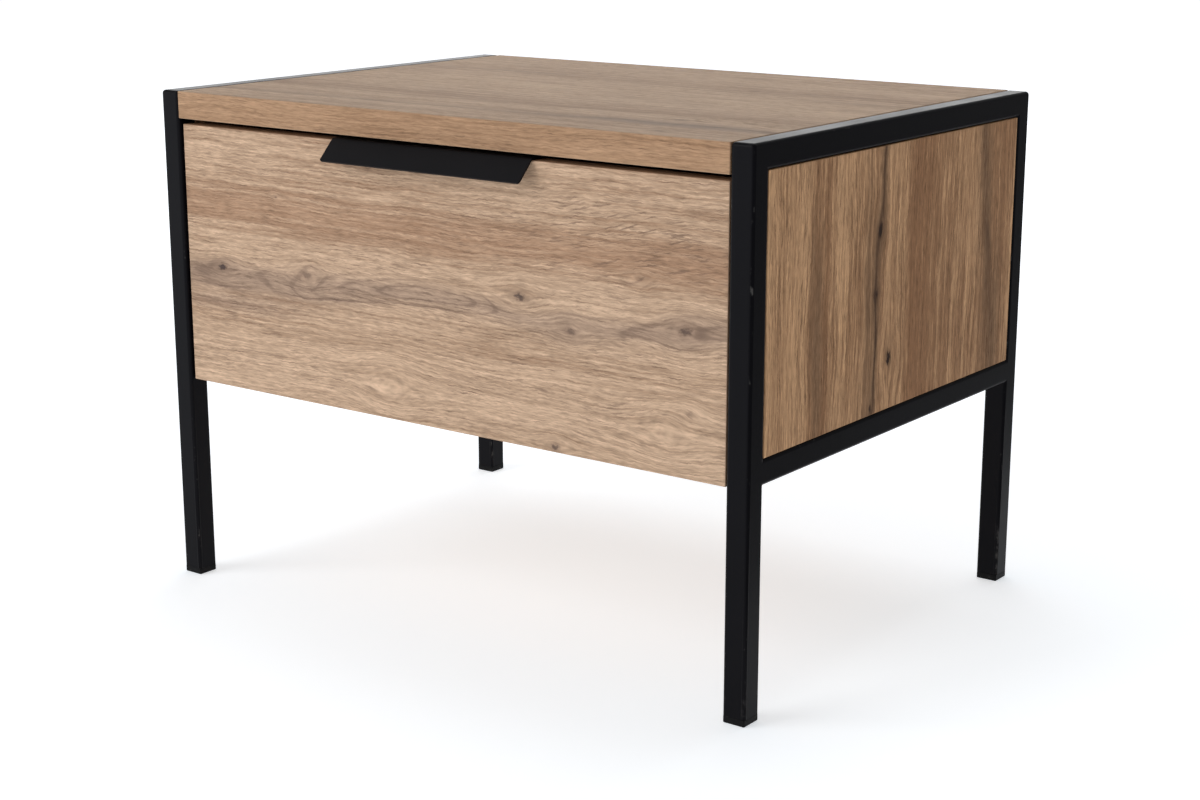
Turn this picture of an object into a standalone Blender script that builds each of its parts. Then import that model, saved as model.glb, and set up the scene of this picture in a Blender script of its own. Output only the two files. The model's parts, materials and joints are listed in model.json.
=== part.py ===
"""Side table with one drawer: two welded square-tube side frames, a boarded
carcass between them, and a drawer on side-mounted ball-bearing slides.

Metres, +Z up, +X to the right, the drawer opens towards -Y. The origin is on
the floor, under the centre of the whole table's box, handle included.
"""

import math

import bmesh
import bpy
from mathutils import Matrix, Vector

# Driving dimensions of the table.
WIDTH = 0.600
FRAME_DEPTH = 0.430
HEIGHT = 0.432
GAP = 0.0003  # left between pieces that touch

# Square steel tube of the side frames.
TUBE = 0.020
TUBE_WALL = 0.0015
TUBE_CORNER_R = 0.003
RAIL_BOTTOM = 0.182  # height of the lower rail's underside

# Plastic foot caps.
CAP_HEIGHT = 0.006
CAP_INSET = 0.0005
CAP_PLUG_HEIGHT = 0.012

# Boards.
TOP_THICK = 0.023
SIDE_THICK = 0.018
SIDE_RECESS = 0.0005  # side panel behind the tubes' outer face
CARCASS_THICK = 0.016
BACK_RECESS = 0.001
BOARD_ARRIS = 0.0004

# Drawer.
FRONT_THICK = 0.018
FRONT_BOTTOM = 0.181
FRONT_TOP = 0.404
FRONT_SIDE_GAP = 0.002
FRONT_SETBACK = 0.003
BOX_BOTTOM = 0.214
BOX_TOP = 0.364
BOX_LENGTH = 0.362
BOX_THICK = 0.012
DRAWER_FLOOR_THICK = 0.005
DRAWER_FLOOR_Z = 0.224
GROOVE_DEPTH = 0.006
TRAVEL = 0.250

# Folded steel handle: top plate on the drawer front, lip and rear flange.
HANDLE_LENGTH = 0.204
HANDLE_SHEET = 0.0015
HANDLE_BEND_R = 0.0018
LIP_REACH = 0.0170
LIP_DROP = 0.0165
FLANGE_DROP = 0.0120

# Ball-bearing slides.
SLIDE_LENGTH = 0.350
SLIDE_HEIGHT = 0.035
SLIDE_DEPTH = 0.0127
SLIDE_SHEET = 0.0011
SLIDE_Z = 0.282
CAGE_LENGTH = 0.096
CAGE_SHEET = 0.0007
BALL_R = 0.0020
BALLS_PER_ROW = 6

# Fasteners.
SHANK_R = 0.00175
HOLE_R = 0.00210
ROUND_SIDES = 12
CAM_R = 0.0073

LEFT, RIGHT = -1, 1
SIDES = (("left", LEFT), ("right", RIGHT))
FRONT_REAR = ("front", "rear")

# Colour, roughness and metallic value of each finish.
FINISHES = {
    "powder_coat": ((0.012, 0.012, 0.014), 0.45, 0.0),
    "oak_board": ((0.47, 0.31, 0.19), 0.55, 0.0),
    "inner_board": ((0.62, 0.60, 0.56), 0.60, 0.0),
    "plastic": ((0.010, 0.010, 0.011), 0.50, 0.0),
    "zinc": ((0.62, 0.63, 0.65), 0.32, 1.0),
    "die_cast": ((0.50, 0.50, 0.51), 0.40, 1.0),
}


# ---------------------------------------------------------------- helpers


def clear_scene():
    for obj in list(bpy.data.objects):
        bpy.data.objects.remove(obj, do_unlink=True)


def finish_material(name, finish):
    color, roughness, metallic = FINISHES[finish]
    material = bpy.data.materials.new(name)
    material.use_nodes = True
    shader = material.node_tree.nodes["Principled BSDF"]
    shader.inputs["Base Color"].default_value = (*color, 1.0)
    shader.inputs["Roughness"].default_value = roughness
    shader.inputs["Metallic"].default_value = metallic
    return material


def add_object(name, mesh, finish, location=(0, 0, 0)):
    obj = bpy.data.objects.new(name, mesh)
    obj.location = location
    bpy.context.scene.collection.objects.link(obj)
    obj.data.materials.clear()
    obj.data.materials.append(finish_material(f"{name}_{finish}", finish))
    return obj


def add_copy(name, mesh, finish, location=(0, 0, 0)):
    """An object on a shared mesh, with a material of its own."""
    obj = bpy.data.objects.new(name, mesh)
    obj.location = location
    bpy.context.scene.collection.objects.link(obj)
    if not mesh.materials:
        mesh.materials.append(None)
    slot = obj.material_slots[0]
    slot.link = "OBJECT"
    slot.material = finish_material(f"{name}_{finish}", finish)
    return obj


def mesh_from_rings(name, rings, closed=False, smooth=True):
    """A skin over rings of equally many points: capped ends, or closed round."""
    bm = bmesh.new()
    loops = [[bm.verts.new(point) for point in ring] for ring in rings]
    pairs = list(zip(loops, loops[1:]))
    if closed:
        pairs.append((loops[-1], loops[0]))
    else:
        bm.faces.new(loops[0])
        bm.faces.new(loops[-1])
    count = len(loops[0])
    for lower, upper in pairs:
        for i in range(count):
            j = (i + 1) % count
            bm.faces.new((lower[i], lower[j], upper[j], upper[i]))
    bmesh.ops.recalc_face_normals(bm, faces=bm.faces)
    mesh = bpy.data.meshes.new(name)
    bm.to_mesh(mesh)
    bm.free()
    if smooth:
        mesh.shade_smooth()
        mesh.set_sharp_from_angle(angle=math.radians(40))
    return mesh


def rounded_square(half, radius, steps=3):
    """Points round a square with rounded corners, centred on the origin."""
    points = []
    for corner in range(4):
        turn = corner * math.pi / 2
        flat = half - radius
        centre = Vector((flat, flat)) @ Matrix.Rotation(-turn, 2)
        for step in range(steps + 1):
            angle = turn + step * math.pi / 2 / steps
            offset = Vector((math.cos(angle), math.sin(angle))) * radius
            points.append(tuple(centre + offset))
    return points


def circle(radius, sides=ROUND_SIDES):
    angles = [2 * math.pi * i / sides for i in range(sides)]
    return [(radius * math.cos(a), radius * math.sin(a)) for a in angles]


def block(name, x_range, y_range, z_range, finish, arris=BOARD_ARRIS):
    """A rectangular board or plate with its arrises eased."""
    lows = [min(r) for r in (x_range, y_range, z_range)]
    highs = [max(r) for r in (x_range, y_range, z_range)]
    size = [high - low for low, high in zip(lows, highs)]
    centre = [(high + low) / 2 for low, high in zip(lows, highs)]
    bm = bmesh.new()
    bmesh.ops.create_cube(bm, size=1.0)
    bmesh.ops.scale(bm, vec=size, verts=bm.verts)
    mesh = bpy.data.meshes.new(name)
    bm.to_mesh(mesh)
    bm.free()
    obj = add_object(name, mesh, finish, centre)
    if arris:
        bevel = obj.modifiers.new("eased_arrises", "BEVEL")
        bevel.width = arris
        bevel.segments = 1
    return obj


def cutter_from(name, bm):
    """A guide object that only cuts others."""
    bmesh.ops.recalc_face_normals(bm, faces=bm.faces)
    mesh = bpy.data.meshes.new(name)
    bm.to_mesh(mesh)
    bm.free()
    obj = bpy.data.objects.new(name, mesh)
    obj.hide_render = True
    obj.display_type = "WIRE"
    bpy.context.scene.collection.objects.link(obj)
    return obj


def cut(target, cutter, operation="DIFFERENCE"):
    boolean = target.modifiers.new(cutter.name, "BOOLEAN")
    boolean.operation = operation
    boolean.object = cutter


def drill(target, holes):
    """Cuts round holes: each is a start point, a direction, a radius and a depth."""
    bm = bmesh.new()
    for start, direction, radius, depth in holes:
        direction = Vector(direction).normalized()
        turn = Vector((0, 0, 1)).rotation_difference(direction).to_matrix().to_4x4()
        length = depth + 2 * GAP
        centre = Vector(start) + direction * (length / 2 - 2 * GAP)
        bmesh.ops.create_cone(
            bm, cap_ends=True, segments=ROUND_SIDES, radius1=radius, radius2=radius,
            depth=length, matrix=Matrix.Translation(centre) @ turn,
        )
    cut(target, cutter_from(f"{target.name}_holes", bm))


def cut_box(target, name, x_range, y_range, z_range):
    lows = Vector([min(r) for r in (x_range, y_range, z_range)])
    highs = Vector([max(r) for r in (x_range, y_range, z_range)])
    scale = Matrix.Diagonal((*(highs - lows), 1.0))
    bm = bmesh.new()
    bmesh.ops.create_cube(bm, size=1.0, matrix=Matrix.Translation((lows + highs) / 2) @ scale)
    cut(target, cutter_from(name, bm))


def turn_to(obj, direction):
    """Turns an object's +Z to a direction."""
    obj.rotation_mode = "QUATERNION"
    obj.rotation_quaternion = Vector((0, 0, 1)).rotation_difference(Vector(direction))


def carriage(name, location, pieces):
    """An empty that carries the pieces of one moving body."""
    empty = bpy.data.objects.new(name, None)
    empty.location = location
    bpy.context.scene.collection.objects.link(empty)
    undo = Matrix.Translation(location).inverted()
    for piece in pieces:
        piece.parent = empty
        piece.matrix_parent_inverse = undo
    return empty


# ---------------------------------------------------------------- folded sheet


def filleted(corners, radius, steps=4):
    """A line through the corners, with an arc at each inner one."""
    path = [Vector(corners[0])]
    for before, corner, after in zip(corners, corners[1:], corners[2:]):
        corner = Vector(corner)
        incoming = (corner - Vector(before)).normalized()
        outgoing = (Vector(after) - corner).normalized()
        turn = incoming.angle_signed(outgoing)
        run = radius * math.tan(abs(turn) / 2)
        start = corner - incoming * run
        for step in range(steps + 1):
            part = turn * step / steps
            chord = 2 * radius * math.sin(abs(part) / 2)
            heading = incoming @ Matrix.Rotation(part / 2, 2)
            path.append(start + heading * chord)
    path.append(Vector(corners[-1]))
    return path


def sheet_outline(path, thickness):
    """The closed outline of a sheet whose middle line is the path."""
    left, right = [], []
    for i, point in enumerate(path):
        before = path[max(i - 1, 0)]
        after = path[min(i + 1, len(path) - 1)]
        along = (after - before).normalized()
        normal = Vector((-along.y, along.x)) * thickness / 2
        left.append(point + normal)
        right.append(point - normal)
    return left + right[::-1]


def handle_outline():
    """Handle section as (y, z), from the drawer front's top front edge."""
    middle = GAP + HANDLE_SHEET / 2
    nose = -0.0008
    corners = [
        (nose - LIP_REACH + HANDLE_SHEET / 2, middle - LIP_DROP),
        (nose, middle),
        (FRONT_THICK + middle, middle),
        (FRONT_THICK + middle, middle - FLANGE_DROP),
    ]
    return sheet_outline(filleted(corners, HANDLE_BEND_R), HANDLE_SHEET)


# Places that follow from the dimensions.
OVERHANG = -min(y for y, z in handle_outline()) - FRONT_SETBACK
LEG_FRONT_Y = -(FRAME_DEPTH + OVERHANG) / 2 + OVERHANG
LEG_BACK_Y = LEG_FRONT_Y + FRAME_DEPTH
HALF = WIDTH / 2
TUBE_INNER_X = HALF - TUBE
WINDOW_BOTTOM = RAIL_BOTTOM + TUBE
WINDOW_TOP = HEIGHT - TUBE
TOP_UNDERSIDE = HEIGHT - TOP_THICK
SIDE_INNER_X = HALF - SIDE_RECESS - SIDE_THICK
BACK_FRONT_Y = LEG_BACK_Y - BACK_RECESS - CARCASS_THICK
FRONT_Y = LEG_FRONT_Y + FRONT_SETBACK
FRONT_BACK_Y = FRONT_Y + FRONT_THICK
SLIDE_FACE_X = SIDE_INNER_X - GAP
SLIDE_FRONT_Y = FRONT_BACK_Y + 0.002
BOX_OUTER_X = SLIDE_FACE_X - SLIDE_DEPTH - GAP
BOX_INNER_X = BOX_OUTER_X - BOX_THICK
BOX_FRONT_Y = FRONT_BACK_Y + GAP
BOX_BACK_Y = BOX_FRONT_Y + BOX_LENGTH


# ---------------------------------------------------------------- side frames


def tube_rings(place_start, place_end):
    """The four rings of a hollow tube, from two functions that place a section point."""
    outer = rounded_square(TUBE / 2, TUBE_CORNER_R)
    inner = rounded_square(TUBE / 2 - TUBE_WALL, TUBE_CORNER_R - TUBE_WALL)
    return [
        [place_start(a, b) for a, b in outer],
        [place_end(a, b) for a, b in outer],
        [place_end(a, b) for a, b in inner],
        [place_start(a, b) for a, b in inner],
    ]


def add_tube(name, place_start, place_end):
    mesh = mesh_from_rings(name, tube_rings(place_start, place_end), closed=True)
    return add_object(name, mesh, "powder_coat")


def build_side_frame(side, sign):
    """Two legs and two rails, mitred together at the top."""
    centre_x = sign * (HALF - TUBE / 2)
    mitre_gap = GAP / math.sqrt(2)
    rail_z = HEIGHT - TUBE / 2

    for place in FRONT_REAR:
        inward = 1 if place == "front" else -1
        leg_y = LEG_FRONT_Y + TUBE / 2 if place == "front" else LEG_BACK_Y - TUBE / 2

        def foot_end(a, b, leg_y=leg_y):
            return (centre_x + a, leg_y + b, CAP_HEIGHT)

        def mitre_end(a, b, leg_y=leg_y, inward=inward):
            return (centre_x + a, leg_y + b, rail_z - inward * b - mitre_gap)

        add_tube(f"{side}_leg_{place}", foot_end, mitre_end)

    def rail_front(a, b):
        return (centre_x + a, LEG_FRONT_Y + TUBE / 2 - b + mitre_gap, rail_z + b)

    def rail_rear(a, b):
        return (centre_x + a, LEG_BACK_Y - TUBE / 2 + b - mitre_gap, rail_z + b)

    add_tube(f"{side}_top_rail", rail_front, rail_rear)

    lower_z = RAIL_BOTTOM + TUBE / 2

    def lower_front(a, b):
        return (centre_x + a, LEG_FRONT_Y + TUBE + GAP, lower_z + b)

    def lower_rear(a, b):
        return (centre_x + a, LEG_BACK_Y - TUBE - GAP, lower_z + b)

    add_tube(f"{side}_lower_rail", lower_front, lower_rear)


def build_foot_caps():
    """Plastic caps: a tread under the tube and a plug inside it."""
    tread = TUBE / 2 - CAP_INSET
    plug = TUBE / 2 - TUBE_WALL - 0.0004
    levels = [
        (tread - 0.0008, 0.0025, 0.0),
        (tread, 0.0028, 0.0008),
        (tread, 0.0028, CAP_HEIGHT - GAP),
        (plug, 0.0012, CAP_HEIGHT - GAP),
        (plug, 0.0012, CAP_HEIGHT + CAP_PLUG_HEIGHT - 0.002),
        (plug - 0.0010, 0.0012, CAP_HEIGHT + CAP_PLUG_HEIGHT),
    ]
    rings = [
        [(a, b, z) for a, b in rounded_square(half, radius)] for half, radius, z in levels
    ]
    mesh = mesh_from_rings("foot_cap", rings)
    for side, sign in SIDES:
        for place in FRONT_REAR:
            y = LEG_FRONT_Y + TUBE / 2 if place == "front" else LEG_BACK_Y - TUBE / 2
            name = f"foot_cap_{side}_{place}"
            add_copy(name, mesh, "plastic", (sign * (HALF - TUBE / 2), y, 0))


# ---------------------------------------------------------------- fasteners


def screw_mesh(name, length, head_r, head_height):
    """A pan-head screw: origin under the head, the head towards +Z."""
    tip = 0.0004
    profile = [
        (tip, -length),
        (SHANK_R, -length + 0.003),
        (SHANK_R, 0.0),
        (head_r, 0.0),
        (head_r, head_height * 0.45),
        (head_r * 0.62, head_height),
    ]
    rings = [[(x, y, z) for x, y in circle(radius)] for radius, z in profile]
    return mesh_from_rings(name, rings)


def add_screw(name, mesh, seat, direction):
    """Places a screw with its head on the seat, pointing along the direction."""
    direction = Vector(direction)
    obj = add_copy(name, mesh, "zinc", Vector(seat) + direction * GAP / 2)
    turn_to(obj, direction)
    return obj


# ---------------------------------------------------------------- carcass

TAB_SIZE = (0.022, 0.030, 0.002)
TAB_FROM_LEG = 0.055
TAB_SCREW_LENGTH = 0.013
BRACKET_LEG = 0.024
BRACKET_WIDTH = 0.020
BRACKET_SHEET = 0.002
BRACKET_SCREW_LENGTH = 0.014


def tab_y(place):
    if place == "front":
        return LEG_FRONT_Y + TUBE + TAB_FROM_LEG
    return LEG_BACK_Y - TUBE - TAB_FROM_LEG


def tab_screw_seat(sign, place):
    x = sign * (TUBE_INNER_X - GAP - TAB_SIZE[0] * 0.55)
    return Vector((x, tab_y(place), RAIL_BOTTOM))


def bracket_screws(sign):
    """Seat and direction of the bracket's upward and sideways screws."""
    middle_y = (LEG_FRONT_Y + LEG_BACK_Y) / 2
    plate_x = SIDE_INNER_X - GAP - BRACKET_SHEET
    plate_z = TOP_UNDERSIDE - GAP - BRACKET_SHEET
    reach = BRACKET_LEG * 0.6
    up = (Vector((sign * (SIDE_INNER_X - reach), middle_y, plate_z)), Vector((0, 0, -1)))
    across = (
        Vector((sign * plate_x, middle_y, TOP_UNDERSIDE - reach)),
        Vector((-sign, 0, 0)),
    )
    return {"up": up, "side": across}


def slide_screw_ys():
    return {"front": SLIDE_FRONT_Y + 0.037, "rear": SLIDE_FRONT_Y + SLIDE_LENGTH - 0.060}


def build_carcass():
    inner_x = TUBE_INNER_X - GAP
    corners_y = (LEG_FRONT_Y, LEG_BACK_Y)
    window_y = (LEG_FRONT_Y + TUBE + GAP, LEG_BACK_Y - TUBE - GAP)
    floor_z = RAIL_BOTTOM + TAB_SIZE[2] + GAP
    x_span = (-inner_x, inner_x)

    top = block("top_panel", x_span, corners_y, (TOP_UNDERSIDE, HEIGHT), "oak_board")
    drill(top, [(Vector((seat.x, seat.y, TOP_UNDERSIDE)), (0, 0, 1), HOLE_R, 0.0125)
                for sign in (LEFT, RIGHT) for seat, _ in [bracket_screws(sign)["up"]]])

    for side, sign in SIDES:
        outer_x = sign * (HALF - SIDE_RECESS)
        x_range = (outer_x, sign * SIDE_INNER_X)
        z_range = (WINDOW_BOTTOM + GAP, WINDOW_TOP - GAP)
        panel = block(f"{side}_side_panel", x_range, window_y, z_range, "oak_board")
        face_x = sign * SIDE_INNER_X
        seat, _ = bracket_screws(sign)["side"]
        holes = [(Vector((face_x, seat.y, seat.z)), (sign, 0, 0), HOLE_R, 0.0125)]
        for y in slide_screw_ys().values():
            holes.append((Vector((face_x, y, SLIDE_Z)), (sign, 0, 0), HOLE_R, 0.0125))
        drill(panel, holes)

    block("back_panel", x_span, (BACK_FRONT_Y, LEG_BACK_Y - BACK_RECESS),
          (floor_z, TOP_UNDERSIDE - GAP), "oak_board")

    bottom = block("bottom_panel", x_span, (FRONT_BACK_Y + 0.002, BACK_FRONT_Y - GAP),
                   (floor_z, floor_z + CARCASS_THICK), "oak_board")
    seats = [tab_screw_seat(sign, place) for sign in (LEFT, RIGHT) for place in FRONT_REAR]
    drill(bottom, [(Vector((s.x, s.y, floor_z)), (0, 0, 1), HOLE_R, 0.012) for s in seats])


def build_weld_tabs():
    """Steel tabs on the lower rails, with the screws that hold the bottom panel."""
    screw = screw_mesh("tab_screw", TAB_SCREW_LENGTH, 0.0036, 0.0022)
    for side, sign in SIDES:
        for place in FRONT_REAR:
            root_x = TUBE_INNER_X - GAP
            x_range = (sign * (root_x - TAB_SIZE[0]), sign * root_x)
            y = tab_y(place)
            y_range = (y - TAB_SIZE[1] / 2, y + TAB_SIZE[1] / 2)
            z_range = (RAIL_BOTTOM, RAIL_BOTTOM + TAB_SIZE[2])
            name = f"weld_tab_{side}_{place}"
            tab = block(name, x_range, y_range, z_range, "powder_coat", arris=0.0003)
            seat = tab_screw_seat(sign, place)
            drill(tab, [(seat, (0, 0, 1), HOLE_R, TAB_SIZE[2])])
            add_screw(f"tab_screw_{side}_{place}", screw, seat, (0, 0, -1))


def build_top_brackets():
    """Steel angles that hold the top panel to the side panels."""
    screw = screw_mesh("bracket_screw", BRACKET_SCREW_LENGTH, 0.0036, 0.0022)
    middle_y = (LEG_FRONT_Y + LEG_BACK_Y) / 2
    bend = BRACKET_SHEET / 2
    corner_x = SIDE_INNER_X - GAP - bend
    corner_z = TOP_UNDERSIDE - GAP - bend
    for side, sign in SIDES:
        corners = [
            (corner_x - BRACKET_LEG, corner_z),
            (corner_x, corner_z),
            (corner_x, corner_z - BRACKET_LEG),
        ]
        outline = sheet_outline(filleted(corners, 0.002, steps=3), BRACKET_SHEET)
        ends = (middle_y - BRACKET_WIDTH / 2, middle_y + BRACKET_WIDTH / 2)
        rings = [[(sign * x, y, z) for x, z in outline] for y in ends]
        mesh = mesh_from_rings(f"{side}_top_bracket", rings)
        bracket = add_object(f"{side}_top_bracket", mesh, "zinc")
        screws = bracket_screws(sign)
        drill(bracket, [(seat, -out, HOLE_R, BRACKET_SHEET) for seat, out in screws.values()])
        for key, (seat, out) in screws.items():
            add_screw(f"{side}_bracket_screw_{key}", screw, seat, out)


# ---------------------------------------------------------------- slides


def slide_outline(points):
    """A folded slide section as (depth from the side panel, height) points."""
    return sheet_outline(filleted(points, 0.0012, steps=2), SLIDE_SHEET)


def add_slide_member(name, outline, sign):
    ends = (SLIDE_FRONT_Y, SLIDE_FRONT_Y + SLIDE_LENGTH)
    rings = [[(sign * (SLIDE_FACE_X - u), y, SLIDE_Z + v) for u, v in outline] for y in ends]
    return add_object(name, mesh_from_rings(name, rings), "zinc")


def cage_mesh(sign):
    """A ball retainer: a folded strip with a row of balls in each flange."""
    web_u = 0.0031
    flange_end_u = 0.0092
    ball_u = 0.0065
    ball_v = 0.0141
    corners = [(flange_end_u, ball_v), (web_u, ball_v), (web_u, -ball_v), (flange_end_u, -ball_v)]
    outline = sheet_outline(filleted(corners, 0.0009, steps=2), CAGE_SHEET)
    ends = (-CAGE_LENGTH / 2, CAGE_LENGTH / 2)
    rings = [[(-sign * u, y, v) for u, v in outline] for y in ends]
    pitch = CAGE_LENGTH / BALLS_PER_ROW
    bm = bmesh.new()
    for row in (-1, 1):
        for i in range(BALLS_PER_ROW):
            y = (i - (BALLS_PER_ROW - 1) / 2) * pitch
            place = Matrix.Translation((-sign * ball_u, y, row * ball_v))
            bmesh.ops.create_uvsphere(
                bm, u_segments=8, v_segments=6, radius=BALL_R, matrix=place
            )
    return mesh_from_rings("ball_cage", rings), bm


def build_slides():
    half_height = (SLIDE_HEIGHT - SLIDE_SHEET) / 2
    web = SLIDE_SHEET / 2
    flange = 0.0105
    lip_v = half_height - 0.0018
    cabinet_section = slide_outline([
        (flange - web, lip_v), (flange - web, half_height), (web, half_height),
        (web, -half_height), (flange - web, -half_height), (flange - web, -lip_v),
    ])
    inner_v = 0.0112
    drawer_section = slide_outline([
        (0.0040, inner_v), (SLIDE_DEPTH - web, inner_v),
        (SLIDE_DEPTH - web, -inner_v), (0.0040, -inner_v),
    ])
    screw = screw_mesh("slide_screw", 0.011, 0.0034, 0.0012)
    # The cages start where half the travel leaves them between both members.
    cage_y = SLIDE_FRONT_Y + TRAVEL / 2 + CAGE_LENGTH / 2 + 0.002
    drawer_pieces = []
    for side, sign in SIDES:
        cabinet = add_slide_member(f"{side}_slide_cabinet_member", cabinet_section, sign)
        drawer = add_slide_member(f"{side}_slide_drawer_member", drawer_section, sign)
        drawer_pieces.append(drawer)

        strip, balls = cage_mesh(sign)
        centre = Vector((sign * SLIDE_FACE_X, cage_y, SLIDE_Z))
        cage = add_object(f"{side}_slide_ball_cage", strip, "zinc", centre)
        ball_guide = cutter_from(f"{side}_balls", balls)
        ball_guide.location = centre
        cut(cage, ball_guide, "UNION")
        carriage(f"{side}_cage_carriage", centre, [cage])

        web_u = SLIDE_SHEET
        for place, y in slide_screw_ys().items():
            cabinet_seat = Vector((sign * (SLIDE_FACE_X - web_u), y, SLIDE_Z))
            drawer_seat = Vector((sign * (SLIDE_FACE_X - SLIDE_DEPTH + web_u), y, SLIDE_Z))
            name = f"{side}_slide_screw_cabinet_{place}"
            add_screw(name, screw, cabinet_seat, (-sign, 0, 0))
            name = f"{side}_slide_screw_drawer_{place}"
            drawer_pieces.append(add_screw(name, screw, drawer_seat, (sign, 0, 0)))
        for member, start_u, out in ((cabinet, web_u, sign), (drawer, SLIDE_DEPTH - web_u, -sign)):
            start_x = sign * (SLIDE_FACE_X - start_u)
            drill(member, [(Vector((start_x, y, SLIDE_Z)), (out, 0, 0), HOLE_R, web_u)
                           for y in slide_screw_ys().values()])
    return drawer_pieces


# ---------------------------------------------------------------- drawer

CAM_DEPTH = 0.0085
CAM_FROM_FRONT = 0.024
CAM_HEIGHTS = {"lower": BOX_BOTTOM + 0.035, "upper": BOX_TOP - 0.028}
HANDLE_SCREW_X = 0.064
HANDLE_SCREW_LENGTH = 0.012


def build_drawer_box():
    """Drawer front, sides, back and floor; the floor runs in grooves."""
    groove_x = BOX_INNER_X + GROOVE_DEPTH
    groove_z = (DRAWER_FLOOR_Z - GAP, DRAWER_FLOOR_Z + DRAWER_FLOOR_THICK + GAP)
    groove_y = FRONT_BACK_Y - GROOVE_DEPTH
    front_x = TUBE_INNER_X - FRONT_SIDE_GAP

    front = block("drawer_front", (-front_x, front_x), (FRONT_Y, FRONT_BACK_Y),
                  (FRONT_BOTTOM, FRONT_TOP), "oak_board")
    cut_box(front, "front_groove", (-groove_x, groove_x),
            (groove_y, FRONT_BACK_Y + GROOVE_DEPTH), groove_z)
    drill(front, [(Vector((x, FRONT_BACK_Y, handle_screw_z())), (0, -1, 0), HOLE_R, 0.011)
                  for x in (-HANDLE_SCREW_X, HANDLE_SCREW_X)])
    pieces = [front]

    for side, sign in SIDES:
        x_range = (sign * BOX_OUTER_X, sign * BOX_INNER_X)
        y_range = (BOX_FRONT_Y, BOX_BACK_Y)
        name = f"drawer_side_{side}"
        board = block(name, x_range, y_range, (BOX_BOTTOM, BOX_TOP), "inner_board")
        cut_box(board, f"{name}_groove",
                (sign * (BOX_INNER_X - GROOVE_DEPTH), sign * groove_x),
                (BOX_FRONT_Y - GROOVE_DEPTH, BOX_BACK_Y + GROOVE_DEPTH), groove_z)
        holes = [(Vector((sign * BOX_OUTER_X, y, SLIDE_Z)), (-sign, 0, 0), HOLE_R, 0.0105)
                 for y in slide_screw_ys().values()]
        holes += [(cam_seat(sign, z), (sign, 0, 0), CAM_R + GAP, CAM_DEPTH + 2 * GAP)
                  for z in CAM_HEIGHTS.values()]
        drill(board, holes)
        pieces.append(board)

    back_x = BOX_INNER_X - GAP
    back_bottom = DRAWER_FLOOR_Z + DRAWER_FLOOR_THICK + GAP
    pieces.append(block("drawer_back", (-back_x, back_x), (BOX_BACK_Y - BOX_THICK, BOX_BACK_Y),
                        (back_bottom, BOX_TOP - 0.006), "inner_board"))
    floor_x = groove_x - GAP
    pieces.append(block("drawer_bottom", (-floor_x, floor_x), (groove_y + GAP, BOX_BACK_Y),
                        (DRAWER_FLOOR_Z, DRAWER_FLOOR_Z + DRAWER_FLOOR_THICK), "inner_board"))
    return pieces


def cam_seat(sign, z):
    return Vector((sign * BOX_INNER_X, BOX_FRONT_Y + CAM_FROM_FRONT, z))


def build_cams():
    """Cam fittings that pull the drawer front against the sides."""
    rings = [[(x, y, z) for x, y in circle(CAM_R, 20)] for z in (-CAM_DEPTH, 0.0)]
    mesh = mesh_from_rings("drawer_cam", rings)
    slot_half, slot_length, slot_depth = 0.0007, 0.0045, 0.0022
    pieces = []
    for side, sign in SIDES:
        for level, z in CAM_HEIGHTS.items():
            seat = cam_seat(sign, z)
            cam = add_copy(f"drawer_cam_{side}_{level}", mesh, "die_cast", seat)
            turn_to(cam, (-sign, 0, 0))
            x_range = (seat.x - slot_depth, seat.x + slot_depth)
            for arm, (dy, dz) in enumerate(((slot_length, slot_half), (slot_half, slot_length))):
                cut_box(cam, f"{cam.name}_slot_{arm}", x_range,
                        (seat.y - dy, seat.y + dy), (z - dz, z + dz))
            pieces.append(cam)
    return pieces


def handle_screw_z():
    return FRONT_TOP + GAP - FLANGE_DROP / 2


def build_handle():
    """The folded handle and the two screws through its rear flange."""
    outline = handle_outline()
    ends = (-HANDLE_LENGTH / 2, HANDLE_LENGTH / 2)
    rings = [[(x, FRONT_Y + y, FRONT_TOP + z) for y, z in outline] for x in ends]
    handle = add_object("handle", mesh_from_rings("handle", rings), "powder_coat")
    seat_y = FRONT_BACK_Y + GAP + HANDLE_SHEET
    seats = [Vector((x, seat_y, handle_screw_z())) for x in (-HANDLE_SCREW_X, HANDLE_SCREW_X)]
    drill(handle, [(seat, (0, -1, 0), HOLE_R, HANDLE_SHEET) for seat in seats])
    screw = screw_mesh("handle_screw", HANDLE_SCREW_LENGTH, 0.0034, 0.0018)
    names = ("handle_screw_left", "handle_screw_right")
    return [handle] + [add_screw(n, screw, s, (0, 1, 0)) for n, s in zip(names, seats)]


def build_table():
    clear_scene()
    for side, sign in SIDES:
        build_side_frame(side, sign)
    build_foot_caps()
    build_carcass()
    build_weld_tabs()
    build_top_brackets()
    drawer_pieces = build_slides()
    drawer_pieces += build_drawer_box()
    drawer_pieces += build_cams()
    drawer_pieces += build_handle()
    drawer_centre = (0, (FRONT_Y + BOX_BACK_Y) / 2, SLIDE_Z)
    carriage("drawer_carriage", drawer_centre, drawer_pieces)


build_table()
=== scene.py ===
"""Looks of a low side table: black square-tube side frames around oak-decor
boards, and one drawer with a folded steel handle.

Metres, +Z up, +X to the right, the drawer opens towards -Y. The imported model
is the frame: every piece takes its place and size from its boxes. The marks
of the oak decor are placed in the table's own coordinates.
"""

import json
import math

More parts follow.
